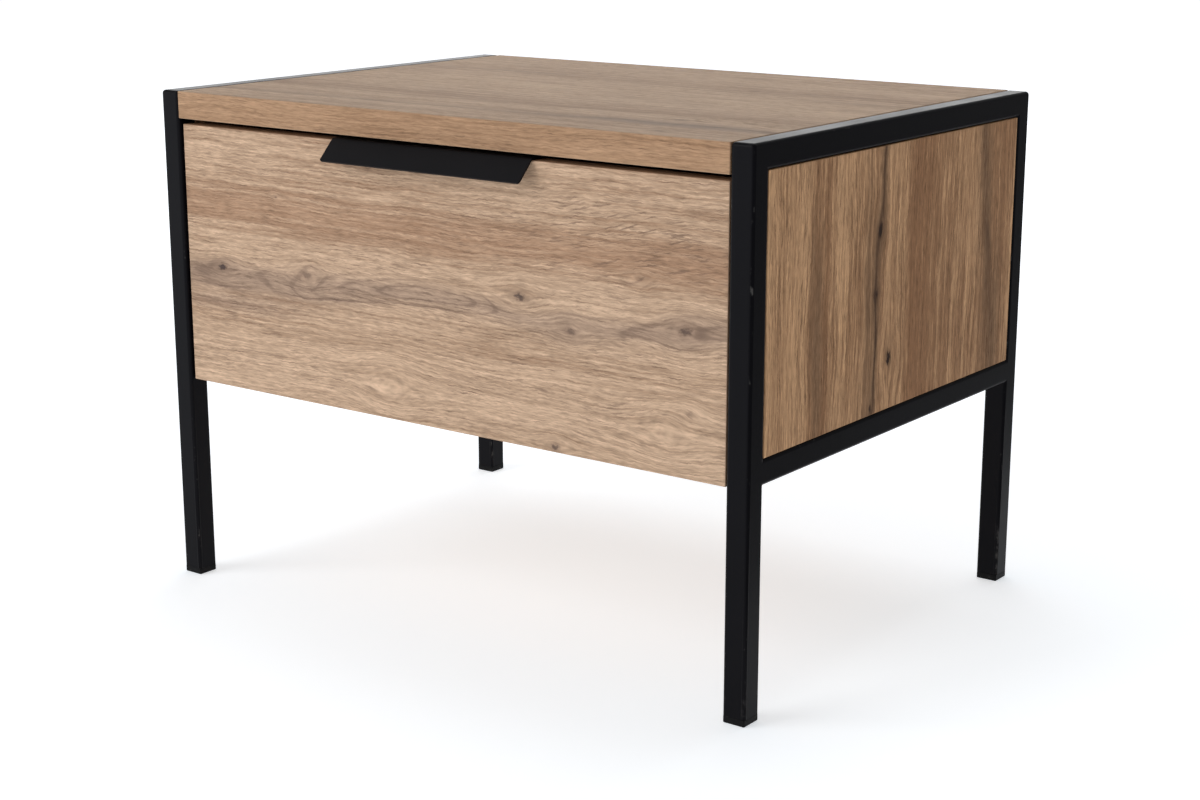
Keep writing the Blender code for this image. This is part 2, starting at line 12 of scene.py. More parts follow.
import bmesh
import bpy
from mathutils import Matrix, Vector


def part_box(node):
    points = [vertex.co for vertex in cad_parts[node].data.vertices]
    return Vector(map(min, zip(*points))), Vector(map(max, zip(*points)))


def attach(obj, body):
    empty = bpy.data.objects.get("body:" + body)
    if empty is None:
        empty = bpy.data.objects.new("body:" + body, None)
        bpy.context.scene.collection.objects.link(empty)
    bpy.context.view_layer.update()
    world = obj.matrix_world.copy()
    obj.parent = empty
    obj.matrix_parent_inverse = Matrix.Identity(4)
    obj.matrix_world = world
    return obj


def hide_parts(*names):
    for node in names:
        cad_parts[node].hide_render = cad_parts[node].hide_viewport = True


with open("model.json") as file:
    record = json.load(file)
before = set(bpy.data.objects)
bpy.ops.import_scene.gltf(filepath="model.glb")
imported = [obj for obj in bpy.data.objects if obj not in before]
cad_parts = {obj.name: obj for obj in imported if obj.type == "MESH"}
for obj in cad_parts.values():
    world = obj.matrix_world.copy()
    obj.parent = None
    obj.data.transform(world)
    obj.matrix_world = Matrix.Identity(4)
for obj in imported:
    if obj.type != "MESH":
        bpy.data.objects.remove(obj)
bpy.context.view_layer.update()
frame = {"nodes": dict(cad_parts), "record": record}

SIDES = ("left", "right")
FRONT_REAR = ("front", "rear")
AXES = "xyz"
WHITE = (1.0, 1.0, 1.0, 1.0)

# Camera, as angles around the table and a distance from the point it looks at.
CAMERA_AZIMUTH = math.radians(36.76)
CAMERA_PITCH = math.radians(14.29)
CAMERA_DISTANCE = 1.869
CAMERA_LENS_MM = 63.42
CAMERA_AIM = Vector((0.0, 0.016, 0.159))

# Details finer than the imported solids.
TUBE_EDGE_R = 0.003
TUBE_EDGE_STEPS = 6
TUBE_WALL = 0.0015
SPACE_ABOVE_PLUG = 0.002
BOARD_EDGE_R = 0.0008
CAP_EDGE_R = 0.0009
HANDLE_SHEET = 0.0015
HANDLE_BEND_R = 0.0018
HANDLE_BEND_STEPS = 8
HANDLE_LIP_REACH = 0.0170
HANDLE_LIP_DROP = 0.0165
HANDLE_FLANGE_DROP = 0.0120
HANDLE_CORNER_R = 0.0022
HANDLE_CORNER_STEPS = 6
HANDLE_EDGE_R = 0.0003

# Closer points coincide, and an edge bent further is rounded.
SAME_PLACE = 1e-6
SHARP_ANGLE = math.radians(30)

# Stage. A softbox is its name, its place, its width and height, and its watts.
FLOOR_RADIUS = 8.0
FLOOR_BELOW_FEET = 0.0002
SOFTBOXES = (
    ("key", (-1.65, -2.5, 2.0), (2.0, 1.8), 40.0),
    ("overhead", (-0.2, 0.9, 2.6), (1.8, 1.8), 20.0),
    ("back", (-2.2, 2.9, 1.15), (2.6, 1.2), 14.0),
)
SOFTBOX_AIM = Vector((0.0, 0.0, 0.25))
FLAG_FROM_TABLE = 0.15
FLAG_FRONT, FLAG_REAR = -0.6, 2.6
FLAG_HEIGHT = 0.9


# ------------------------------------------------------------ shader graphs


class Signal:
    """One value in a shader graph, which can be used in sums and products."""

    def __init__(self, graph, socket):
        self.graph = graph
        self.socket = socket

    def __add__(self, other):
        return self.graph.math("ADD", self, other)

    def __radd__(self, other):
        return self.graph.math("ADD", other, self)

    def __sub__(self, other):
        return self.graph.math("SUBTRACT", self, other)

    def __rsub__(self, other):
        return self.graph.math("SUBTRACT", other, self)

    def __mul__(self, other):
        return self.graph.math("MULTIPLY", self, other)

    def __truediv__(self, other):
        return self.graph.math("DIVIDE", self, other)

    def __neg__(self):
        return self.graph.math("MULTIPLY", self, -1.0)

    def __abs__(self):
        return self.graph.math("ABSOLUTE", self)


class Graph:
    """Adds and joins the nodes of one material or world."""

    def __init__(self, tree):
        self.tree = tree
        tree.nodes.clear()

    def node(self, kind, inputs=None, **settings):
        node = self.tree.nodes.new("ShaderNode" + kind)
        for key, value in settings.items():
            setattr(node, key, value)
        for key, value in (inputs or {}).items():
            self.feed(node.inputs[key], value)
        return node

    def feed(self, socket, value):
        if isinstance(value, Signal):
            self.tree.links.new(value.socket, socket)
        else:
            socket.default_value = value

    def math(self, operation, *values):
        node = self.node("Math", operation=operation)
        for socket, value in zip(node.inputs, values):
            self.feed(socket, value)
        return Signal(self, node.outputs[0])

    def step(self, value, low, high):
        """0 at low, 1 at high, and smooth between them."""
        inputs = {"Value": value, "From Min": low, "From Max": high}
        node = self.node("MapRange", inputs, interpolation_type="SMOOTHSTEP")
        return Signal(self, node.outputs["Result"])

    def bell(self, distance, width):
        """1 at no distance, falling away smoothly over the width."""
        ratio = distance / width
        return self.math("EXPONENT", -(ratio * ratio))

    def split(self, socket):
        """A vector socket's parts, as {"x": ..., "y": ..., "z": ...}."""
        node = self.node("SeparateXYZ")
        self.tree.links.new(socket, node.inputs[0])
        return {axis: Signal(self, node.outputs[i]) for i, axis in enumerate(AXES)}

    def noise(self, x, y, z=0.0, detail=2.0, roughness=0.5):
        """Smooth noise around 0.5; each coordinate is already scaled.

        In a flat decor a plain number for z picks a layer of its own.
        """
        place = self.node("CombineXYZ", {"X": x, "Y": y, "Z": z})
        inputs = {"Scale": 1.0, "Detail": detail, "Roughness": roughness}
        node = self.node("TexNoise", inputs)
        self.tree.links.new(place.outputs[0], node.inputs["Vector"])
        return Signal(self, node.outputs[0])

    def swing(self, x, y, z=0.0, detail=2.0, roughness=0.5):
        """The same noise around 0."""
        return self.noise(x, y, z, detail, roughness) - 0.5

    def curve(self, value, points):
        """value put through a smooth curve, given by (input, output) points."""
        lowest, highest = points[0][0], points[-1][0]
        outputs = [y for _, y in points]
        base, span = min(outputs), max(outputs) - min(outputs)
        node = self.node("FloatCurve")
        shape = node.mapping.curves[0]
        spots = [((x - lowest) / (highest - lowest), (y - base) / span) for x, y in points]
        while len(shape.points) < len(spots):
            shape.points.new(0.5, 0.5)
        for point, spot in zip(shape.points, spots):
            point.location = spot
        node.mapping.update()
        self.feed(node.inputs["Value"], (value - lowest) / (highest - lowest))
        return Signal(self, node.outputs[0]) * span + base

    def mix(self, factor, first, second, blend="MIX"):
        node = self.node("Mix", data_type="RGBA", blend_type=blend)
        for index, value in ((0, factor), (6, first), (7, second)):
            self.feed(node.inputs[index], value)
        return Signal(self, node.outputs[2])

    def bump(self, height, distance, strength):
        inputs = {"Height": height, "Distance": distance, "Strength": strength}
        return Signal(self, self.node("Bump", inputs).outputs["Normal"])

    def surface(self, inputs):
        """The material's one Principled shader."""
        shader = self.node("BsdfPrincipled", inputs)
        output = self.node("OutputMaterial")
        self.tree.links.new(shader.outputs[0], output.inputs["Surface"])


def rgb(red, green, blue):
    return (red, green, blue, 1.0)


def new_graph(name):
    material = bpy.data.materials.new(name)
    material.use_nodes = True
    return material, Graph(material.node_tree)


def place_of(g):
    return g.split(g.node("TexCoord").outputs["Object"])


def normal_of(g):
    return g.split(g.node("NewGeometry").outputs["Normal"])


def rounded_edge(g):
    """1 on the rounded edges of a piece whose faces follow the axes, 0 on its faces."""
    n = normal_of(g)
    largest = g.math("MAXIMUM", g.math("MAXIMUM", abs(n["x"]), abs(n["y"])), abs(n["z"]))
    return g.step(1.0 - largest, 0.02, 0.16)


# ------------------------------------------------------------ oak decor

# How far the grain of every board wanders from side to side.
SLOW_SWAY = 0.014

PALE_OAK = {
    "light": rgb(0.556, 0.388, 0.268),
    "mid": rgb(0.412, 0.275, 0.181),
    "red": rgb(0.350, 0.208, 0.128),
    "grey": rgb(0.288, 0.200, 0.148),
    "line": rgb(0.150, 0.095, 0.070),
    "knot": rgb(0.060, 0.043, 0.042),
}
# The pale oak made dimmer for the top board: painted shade, against the stronger light that falls on the
# top.
TOP_OAK_WITH_PAINTED_SHADE = {
    "light": rgb(0.500, 0.350, 0.236),
    "mid": rgb(0.360, 0.242, 0.160),
    "red": rgb(0.285, 0.178, 0.116),
    "grey": rgb(0.235, 0.173, 0.135),
    "line": rgb(0.120, 0.078, 0.056),
    "knot": rgb(0.050, 0.036, 0.034),
}
BAND_OAK = {
    "light": rgb(0.420, 0.262, 0.158),
    "mid": rgb(0.335, 0.198, 0.114),
    "red": rgb(0.265, 0.148, 0.082),
    "grey": rgb(0.280, 0.185, 0.125),
    "line": rgb(0.130, 0.078, 0.050),
    "knot": rgb(0.050, 0.032, 0.026),
}
WARM_OAK = {
    "light": rgb(0.480, 0.282, 0.148),
    "mid": rgb(0.310, 0.170, 0.085),
    "red": rgb(0.225, 0.108, 0.050),
    "grey": rgb(0.168, 0.097, 0.052),
    "line": rgb(0.072, 0.037, 0.020),
    "knot": rgb(0.030, 0.016, 0.010),
}


def board_coordinates(g, grain, across, face):
    """Distances along and across the grain, in metres.

    The main face keeps the table's own coordinates. Its reverse and the
    edges show other stretches of the decor, and an edge that cuts the grain
    has it turned along the edge, as an edge band is.
    """
    thick = next(axis for axis in AXES if axis not in (grain, across))
    place, normal = place_of(g), normal_of(g)
    on_end = g.math("GREATER_THAN", abs(normal[grain]), 0.7)
    on_edge = g.math("GREATER_THAN", abs(normal[across]), 0.7)
    on_reverse = g.math("GREATER_THAN", normal[thick] * -face, 0.7)
    on_side = on_end + on_edge
    along = place[grain] * (1.0 - on_end) + place[across] * on_end
    cross = place[across] * (1.0 - on_side) + place[thick] * on_side
    return along + on_reverse * 1.3 + on_edge * 2.1 + on_end * 3.7, cross


def knot_marks(g, u, v, knots):
    """(v bent around the knots, darkness of the knots)."""
    bent, dark = v, 0.0
    for along, across, radius, depth in knots:
        off = v - across
        close = g.bell(u - along, radius * 3.2) * g.bell(off, radius * 1.9)
        bent = bent - off * close * 0.8
        if depth:
            ragged = g.noise(u * 260.0, v * 420.0, detail=4.0, roughness=0.6) * 1.5
            core = g.bell(u - along, radius) * g.bell(off, radius * 0.55)
            halo = g.bell(u - along, radius * 2.2) * g.bell(off, radius * 1.1)
            dark = dark + (g.step(core * ragged, 0.08, 0.75) + halo * ragged * 0.35) * depth
    return bent, dark


def heart_marks(g, u, us, v, heart):
    """(greyness, darkness) of the core, with loops where the rings cut the face.

    path and depth: (along, value) points of the core's middle line, and of
    its distance below the face. half: half its width. pitch: from ring to
    ring. rim_end: how far along its dark lower rim goes.
    """
    half = heart["half"]
    off = v - g.curve(u, heart["path"])
    deep = g.curve(u, heart["depth"]) + g.swing(us * 9.0, 3.0) * 0.006
    waver = g.swing(us * 16.0, v * 60.0) * 0.0035
    ring = g.math("SQRT", off * off + deep * deep) + waver
    wave = g.math("SINE", ring * (2.0 * math.pi / heart["pitch"])) * 0.5 + 0.5
    fading = g.step(g.noise(us * 13.0, v * 90.0, 6.0), 0.25, 0.55) * 0.7 + 0.3
    crests = g.step(wave, 0.82, 1.0) + g.step(wave, 0.1, 0.9) * 0.30
    loops = crests * g.bell(off, half * 1.2) * fading
    rim = g.bell(off + half * 0.95, 0.0012) * g.step(g.noise(us * 14.0, 8.0), 0.28, 0.58)
    rim = rim * g.step(u, heart["rim_end"], heart["rim_end"] - 0.08)
    return g.bell(off, half * 1.25), loops * 0.42 + rim * 0.70


def grain_drift(g, us, v, sway, jag):
    """How far the grain runs beside a straight line, from slow bends to raggedness."""
    slow = g.swing(us * 2.4, v * 5.0) * SLOW_SWAY
    bends = g.swing(us * 7.0, v * 9.0, 30.0) * (sway - SLOW_SWAY)
    ripple = g.swing(us * 13.0, v * 24.0, detail=1.0) * 0.0050
    ragged = g.swing(us * 150.0, v * 240.0, 35.0, detail=3.0, roughness=0.6) * 0.0022
    return slow + bends + ripple + ragged * jag


def streak_marks(g, u, us, v, streaks):
    """(greyness, darkness) of torn dark lines along the grain."""
    grey, dark = 0.0, 0.0
    for path, half, depth in streaks:
        off = v - g.curve(u, path)
        torn = g.step(g.noise(us * 18.0, v * 30.0, 4.0), 0.20, 0.6) * 0.8 + 0.2
        dark = dark + g.bell(off, half) * torn * depth + g.bell(off, half * 3.0) * depth * 0.25
        grey = grey + g.bell(off, half * 5.5) * depth
    return grey, dark


def pore_marks(g, u, us, v, figure, contrast):
    """Short dark dashes in clusters, and slanting ones where a figure is given."""
    cluster = g.step(g.noise(us * 7.0, v * 55.0, 11.0), 0.36, 0.62)
    short = g.step(g.noise(us * 120.0, v * 1250.0, 13.0, detail=1.0), 0.575, 0.70)
    long = g.step(g.noise(us * 42.0, v * 760.0, 15.0, detail=1.0), 0.59, 0.71)
    pores = short * (0.35 + cluster * 0.65) * 0.6 + long * cluster * (0.7 * contrast)
    if figure:
        along, middle, half_length, half_width, slope = figure
        patch = g.bell(u - along, half_length) * g.bell(v - middle, half_width)
        slant = g.noise(us * 45.0, (v - u * slope) * 480.0, 17.0, detail=2.0)
        pores = pores + g.step(slant, 0.54, 0.70) * patch * 1.3
    return pores


def oak(name, grain, across, face=1, seed=0.0, palette=PALE_OAK, tones=None, reds=(), greys=(),
        knots=(), heart=None, streaks=(), figure=None, sway=SLOW_SWAY, patchy=1.0, contrast=1.0):
    """Oak decor on melamine board.

    tones: (across, 0 dark to 1 light) points. reds: (across, half width,
    strength) bands. greys: (along, across, half length, half width,
    strength) patches. knots: (along, across, radius, depth). heart: the
    greyish core. streaks: (path, half width, depth) dark lines. figure:
    (along, across, half length, half width, slope) of slanting dashes.
    sway: how far the grain wanders. patchy and contrast: strengths of the
    broad bands and of the fine grain.
    """
    material, g = new_graph(name)
    u, flat_v = board_coordinates(g, grain, across, face)
    us = u + seed
    v, knot_dark = knot_marks(g, u, flat_v + grain_drift(g, us, flat_v, sway, contrast), knots)

    # Noise from broad bands down to single fibres.
    broad = g.swing(us * 1.1, v * 16.0, 2.0, detail=3.0)
    blotch = g.swing(us * 9.0, flat_v * 14.0, 1.0, detail=3.0)
    rings = g.swing(us * 5.0, v * 190.0, 5.0, detail=3.0, roughness=0.62)
    streaky = g.swing(us * 26.0, v * 560.0, 7.0, detail=3.0, roughness=0.62)
    flecks = g.swing(us * 95.0, v * 760.0, 19.0, detail=1.0)
    fibres = g.swing(us * 110.0, v * 1500.0, 9.0, detail=2.0, roughness=0.6)

    tone = (g.curve(v, tones) if tones else 0.5) + (broad * 1.1 + blotch * 0.6) * patchy
    tone = tone + (rings * 1.2 + streaky * 0.9) * contrast
    fine = 1.0 + (rings * 0.36 + streaky * 0.60 + flecks * 0.65 + fibres * 0.35) * contrast

    red = g.swing(us * 0.9, v * 11.0, 21.0, detail=2.0) * 1.1 - rings * 1.1 - streaky * 0.5
    for middle, half, strength in reds:
        red = red + g.bell(v - middle, half) * strength

    streak_grey, streak_dark = streak_marks(g, u, us, v, streaks)
    grey = (g.noise(us * 2.2, v * 30.0, 25.0) - 0.62) * 1.2 + streak_grey
    dark = streak_dark + knot_dark
    for along, middle, half_length, half_width, strength in greys:
        grey = grey + g.bell(u - along, half_length) * g.bell(v - middle, half_width) * strength
    if heart:
        heart_grey, heart_dark = heart_marks(g, u, us, v, heart)
        grey, dark = grey + heart_grey * 0.9, dark + heart_dark
    pores = pore_marks(g, u, us, v, figure, contrast)

    colour = g.mix(g.step(tone, -0.05, 1.05), palette["mid"], palette["light"])
    colour = g.mix(g.step(tone, 0.45, -0.10) * 0.6, colour, palette["red"])
    colour = g.mix(g.step(red, 0.05, 1.15) * 0.85, colour, palette["red"])
    colour = g.mix(g.step(grey, 0.0, 1.1) * 0.70, colour, palette["grey"])
    colour = g.mix(1.0, colour, fine, blend="MULTIPLY")
    colour = g.mix(g.math("MINIMUM", dark, 1.0), colour, palette["line"])
    if knots:
        colour = g.mix(g.step(knot_dark, 0.35, 1.1), colour, palette["knot"])
    colour = g.mix(g.math("MINIMUM", pores, 1.0) * 0.62, colour, palette["line"])
    # Painted highlight: the decor is lighter along the rounded edges.
    colour = g.mix(rounded_edge(g) * 0.30, colour, palette["light"])

    g.surface({
        "Base Color": colour,
        "Roughness": 0.60 - fibres * 0.3 + pores * 0.2,
        "Specular IOR Level": 0.10,
        "Normal": g.bump(fibres * 0.5 + streaky * 0.4 - pores, 0.00012, 0.6),
    })
    return material


# The marks of each board, in the forms that oak() takes.
FRONT_TONES = [(0.181, 0.56), (0.215, 0.62), (0.240, 0.54), (0.256, 0.34), (0.272, 0.42),
               (0.300, 0.60), (0.314, 0.54), (0.332, 0.24), (0.352, 0.26), (0.372, 0.38), (0.404, 0.46)]
FRONT_HEART = {
    "path": [(-0.280, 0.2795), (-0.100, 0.2825), (0.010, 0.2900), (0.090, 0.2850),
             (0.140, 0.2805), (0.200, 0.2860), (0.280, 0.2945)],
    "depth": [(-0.280, 0.030), (-0.200, 0.024), (-0.050, 0.006), (0.020, 0.003),
              (0.080, 0.012), (0.200, 0.009), (0.280, 0.004)],
    "half": 0.0100,
    "pitch": 0.0045,
    "rim_end": 0.060,
}
FRONT_KNOTS = [(-0.237, 0.284, 0.0058, 0.80), (-0.137, 0.289, 0.0065, 0.42), (0.088, 0.300, 0.0068, 0.62),
               (0.137, 0.279, 0.0060, 0.50), (0.242, 0.291, 0.0080, 0.55), (0.122, 0.186, 0.0055, 0.55),
               (0.246, 0.231, 0.0045, 0.35), (0.200, 0.325, 0.0045, 0.25), (-0.170, 0.350, 0.0022, 0.45),
               (-0.050, 0.208, 0.0110, 0.0), (0.225, 0.214, 0.0100, 0.0)]
FRONT_GREYS = [(-0.250, 0.256, 0.130, 0.010, 0.72), (0.090, 0.318, 0.050, 0.006, 0.35),
               (0.200, 0.262, 0.090, 0.006, 0.35)]

SIDE_TONES = [(-0.195, 0.74), (-0.150, 0.74), (-0.130, 0.30), (-0.116, -0.05), (-0.100, 0.36),
              (-0.070, 0.50), (-0.045, 0.26), (-0.030, 0.08), (-0.012, 0.30), (0.006, 0.36),
              (0.022, 0.14), (0.036, 0.08), (0.060, 0.16), (0.085, 0.22), (0.125, 0.24),
              (0.146, 0.10), (0.160, -0.02), (0.176, 0.04), (0.210, 0.16)]
SIDE_LINE = [(0.200, -0.0340), (0.250, -0.0280), (0.300, -0.0310), (0.345, -0.0270), (0.412, -0.0215)]
SIDE_STREAK = [(0.200, 0.1710), (0.280, 0.1650), (0.340, 0.1530), (0.412, 0.1460)]
SIDE_KNOTS = [(0.347, -0.0265, 0.0065, 0.95), (0.244, -0.0080, 0.0072, 0.80),
              (0.298, -0.0300, 0.0032, 0.60), (0.208, -0.0330, 0.0038, 0.60)]
SIDE_GREYS = [(0.250, -0.118, 0.130, 0.009, 0.85), (0.340, -0.128, 0.060, 0.004, 0.50),
              (0.300, -0.044, 0.200, 0.009, 0.80), (0.320, 0.158, 0.080, 0.006, 0.60),
              (0.240, 0.178, 0.080, 0.008, 0.60), (0.230, 0.118, 0.050, 0.010, 0.55)]

TOP_TONES = [(-0.208, 0.52), (-0.172, 0.34), (-0.150, 0.30), (-0.122, 0.62), (-0.100, 0.34), (-0.060, 0.50),
             (0.010, 0.60), (0.060, 0.56), (0.100, 0.30), (0.140, 0.52), (0.222, 0.50)]
TOP_LINE = [(-0.280, -0.1620), (0.080, -0.1560), (0.180, -0.1450), (0.280, -0.1520)]
TOP_KNOTS = [(0.180, -0.125, 0.0100, 0.40), (0.205, -0.186, 0.0060, 0.40), (-0.085, 0.130, 0.0045, 0.45),
             (0.113, 0.086, 0.0050, 0.35)]
TOP_GREYS = [(-0.130, 0.100, 0.120, 0.008, 0.60), (0.190, 0.088, 0.080, 0.010, 0.65),
             (0.220, 0.048, 0.070, 0.008, 0.50), (0.200, -0.148, 0.090, 0.013, 0.85),
             (0.000, -0.104, 0.120, 0.006, 0.45)]


# ------------------------------------------------------------ other finishes


def powder_coat(name, wear=1.0, specular=0.07):
    """Fine-textured satin black powder coat, rubbed a little along its edges."""
    material, g = new_graph(name)
    p = place_of(g)
    x, y, z = p["x"], p["y"], p["z"]
    grain = g.noise(x * 1500.0, y * 1500.0, z * 1500.0, detail=2.0)
    orange_peel = g.noise(x * 330.0, y * 330.0, z * 330.0, detail=2.0)
    cloud = g.noise(x * 14.0, y * 14.0, z * 14.0, detail=3.0)
    rub = g.noise(x * 90.0, y * 90.0, z * 60.0, detail=4.0, roughness=0.65)
    low = g.step(z, 0.10, 0.0)
    worn = rounded_edge(g) * g.step(rub + low * 0.13, 0.60, 0.74) * wear
    colour = g.mix(cloud, rgb(0.0024, 0.0022, 0.0034), rgb(0.0042, 0.0040, 0.0058))
    colour = g.mix(worn * 0.55, colour, rgb(0.105, 0.100, 0.095))
    g.surface({
        "Base Color": colour,
        "Roughness": 0.36 + (cloud - 0.5) * 0.16 + worn * 0.2,
        "Specular IOR Level": specular,
        "Normal": g.bump(grain * 0.5 + orange_peel, 0.00010, 0.35),
    })
    return material


def moulded_plastic(name):
    """Matte black plastic, scuffed grey near the floor."""
    material, g = new_graph(name)
    p = place_of(g)
    x, y, z = p["x"], p["y"], p["z"]
    grain = g.noise(x * 2200.0, y * 2200.0, z * 2200.0, detail=1.0)
    scuff = g.step(g.noise(x * 160.0, y * 160.0, z * 420.0, detail=4.0, roughness=0.7), 0.56, 0.72)
    scuff = scuff * (g.step(z, 0.006, 0.0) * 0.6 + rounded_edge(g) * 0.6)
    g.surface({
        "Base Color": g.mix(scuff, rgb(0.0045, 0.0045, 0.0050), rgb(0.110, 0.105, 0.100)),
        "Roughness": 0.50 + scuff * 0.2,
        "Specular IOR Level": 0.09,
        "Normal": g.bump(grain, 0.00006, 0.4),
    })
    return material


def zinc(name, along, bright=1.0):
    """Rolled, zinc-plated steel, with drawing marks along one axis."""
    material, g = new_graph(name)
    p = place_of(g)
    marks = g.noise(*(p[axis] * (14.0 if axis == along else 1400.0) for axis in AXES), detail=3.0)
    cloud = g.noise(*(p[axis] * 60.0 for axis in AXES), detail=3.0)
    smear = g.noise(*(p[axis] * (6.0 if axis == along else 45.0) for axis in AXES), detail=2.0)
    dull = rgb(0.46 * bright, 0.47 * bright, 0.50 * bright)
    shiny = rgb(0.68 * bright, 0.68 * bright, 0.67 * bright)
    colour = g.mix(cloud, dull, shiny)
    colour = g.mix(g.step(smear, 0.56, 0.75) * 0.35, colour, rgb(0.60, 0.55, 0.44))
    g.surface({
        "Base Color": colour,
        "Metallic": 1.0,
        "Roughness": 0.24 + marks * 0.22 + (cloud - 0.5) * 0.12,
        "Normal": g.bump(marks, 0.00004, 0.5),
    })
    return material


def die_cast(name):
    """Grainy die-cast zinc."""
    material, g = new_graph(name)
    p = place_of(g)
    grain = g.noise(*(p[axis] * 1600.0 for axis in AXES), detail=3.0)
    cloud = g.noise(*(p[axis] * 180.0 for axis in AXES), detail=2.0)
    g.surface({
        "Base Color": g.mix(cloud, rgb(0.36, 0.36, 0.37), rgb(0.56, 0.56, 0.57)),
        "Metallic": 1.0,
        "Roughness": 0.42 + (grain - 0.5) * 0.3,
        "Normal": g.bump(grain, 0.00008, 0.6),
    })
    return material


# ------------------------------------------------------------ mesh helpers


def add_piece(name, bm, material, body, replaced, bevel=None, segments=3):
    """Makes an object of bm, rounds its edges, and puts it in place of CAD nodes."""
    bmesh.ops.recalc_face_normals(bm, faces=bm.faces)
    mesh = bpy.data.meshes.new(name)
    bm.to_mesh(mesh)
    bm.free()
    mesh.shade_smooth()
    mesh.materials.append(material)
    piece = bpy.data.objects.new(name, mesh)
    bpy.context.scene.collection.objects.link(piece)
    if bevel:
        rounding = piece.modifiers.new("rounded edges", "BEVEL")
        rounding.width = bevel
        rounding.segments = segments
        rounding.limit_method = "WEIGHT" if "bevel_weight_edge" in mesh.attributes else "ANGLE"
        rounding.harden_normals = True
        rounding.use_clamp_overlap = False
    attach(piece, body)
    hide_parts(*replaced)
    return piece


def box_mesh(low, high):
    bm = bmesh.new()
    bmesh.ops.create_cube(bm, size=1.0)
    bmesh.ops.scale(bm, vec=high - low, verts=bm.verts)
    bmesh.ops.translate(bm, vec=(low + high) / 2, verts=bm.verts)
    return bm


# ------------------------------------------------------------ side frames


def frame_mesh(side):
    """The welded frame of one side: two legs and two rails in one skin.

    Its side view is a grid of cells between the tubes' edges; the cells of
    the window and of the space under the lower rail are left open.
    """
    leg_low, leg_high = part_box(f"{side}_leg_front")
    rear_low, rear_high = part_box(f"{side}_leg_rear")
    rail_low, rail_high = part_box(f"{side}_lower_rail")
    top_low, top_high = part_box(f"{side}_top_rail")
    ys = (leg_low.y, leg_high.y, rear_low.y, rear_high.y)
    zs = (leg_low.z, rail_low.z, rail_high.z, top_low.z, top_high.z)
    middle_column, rail_row, top_row = 1, 1, 3

    bm = bmesh.new()
    corners = {(i, j): bm.verts.new((leg_low.x, y, z))
               for i, y in enumerate(ys) for j, z in enumerate(zs)}
    for i in range(len(ys) - 1):
        for j in range(len(zs) - 1):
            if i != middle_column or j in (rail_row, top_row):
                bm.faces.new([corners[c] for c in ((i, j), (i + 1, j), (i + 1, j + 1), (i, j + 1))])
    made = bmesh.ops.extrude_face_region(bm, geom=bm.faces[:])
    moved = [part for part in made["geom"] if isinstance(part, bmesh.types.BMVert)]
    bmesh.ops.translate(bm, vec=(leg_high.x - leg_low.x, 0, 0), verts=moved)
    bmesh.ops.delete(bm, geom=[v for v in bm.verts if not v.link_faces], context="VERTS")
    bmesh.ops.recalc_face_normals(bm, faces=bm.faces)
    return bm, leg_low.z


def open_leg_ends(bm, foot_z, depth):
    """Hollows the lower ends of the legs for the caps' plugs."""
    ends = [f for f in bm.faces if all(abs(v.co.z - foot_z) < SAME_PLACE for v in f.verts)]
    bmesh.ops.inset_individual(bm, faces=ends, thickness=TUBE_WALL)
    for end in ends:
        for edge in end.edges:
            edge.smooth = False
        raised = bmesh.ops.extrude_discrete_faces(bm, faces=[end])["faces"]
        bmesh.ops.translate(bm, vec=(0, 0, depth), verts=list(raised[0].verts))


def add_side_frame(side, material):
    bm, foot_z = frame_mesh(side)
    weights = bm.edges.layers.float.new("bevel_weight_edge")
    for edge in bm.edges:
        at_foot = all(abs(v.co.z - foot_z) < SAME_PLACE for v in edge.verts)
        edge.smooth = not at_foot
        if edge.calc_face_angle(0.0) > SHARP_ANGLE and not at_foot:
            edge[weights] = 1.0
    _, cap_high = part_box(f"foot_cap_{side}_front")
    open_leg_ends(bm, foot_z, cap_high.z - foot_z + SPACE_ABOVE_PLUG)
    nodes = [f"{side}_{part}" for part in ("leg_front", "leg_rear", "top_rail", "lower_rail")]
    add_piece(f"{side}_frame_welded", bm, material, "cabinet", nodes,
              bevel=TUBE_EDGE_R, segments=TUBE_EDGE_STEPS)


# ------------------------------------------------------------ boards and caps


def add_board(node, material, body, edge_band=None):
    """A board with rounded edges, and with its own decor around its edges if given."""
    low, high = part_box(node)
    bm = box_mesh(low, high)
    thin = min(range(3), key=lambda axis: high[axis] - low[axis])
    for f in bm.faces:
        f.normal_update()
        f.material_index = int(bool(edge_band) and abs(f.normal[thin]) < 0.5)
    piece = add_piece(f"{node}_board", bm, material, body, [node], bevel=BOARD_EDGE_R)
    if edge_band:
        piece.data.materials.append(edge_band)


def add_foot_cap(node, material):
    """A pad under the leg, rounded below, with its plug inside the tube."""
    low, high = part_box(node)
    leg_low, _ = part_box(node.replace("foot_cap_", "").replace("_", "_leg_", 1))
    bm = box_mesh(low, Vector((high.x, high.y, leg_low.z)))
    top = max(bm.faces, key=lambda f: f.calc_center_median().z)
    bmesh.ops.inset_individual(bm, faces=[top], thickness=TUBE_WALL)
    raised = bmesh.ops.extrude_discrete_faces(bm, faces=[top])["faces"]
    bmesh.ops.translate(bm, vec=(0, 0, high.z - leg_low.z), verts=list(raised[0].verts))
    add_piece(f"{node}_pad", bm, material, "cabinet", [node], bevel=CAP_EDGE_R)


# ------------------------------------------------------------ handle


def filleted(corners, radius, steps):
    """The corner points with each inner corner turned into an arc."""
    points = [corners[0]]
    for before, at, after in zip(corners, corners[1:], corners[2:]):
        to_start, to_end = (before - at).normalized(), (after - at).normalized()
        half_angle = to_start.angle(to_end) / 2
        reach = radius / math.tan(half_angle)
        centre = at + (to_start + to_end).normalized() * radius / math.sin(half_angle)
        start, end = at + to_start * reach - centre, at + to_end * reach - centre
        turned = [start.slerp(end, k / steps).normalized() for k in range(steps + 1)]
        points += [centre + spoke * radius for spoke in turned]
    return points + [corners[-1]]


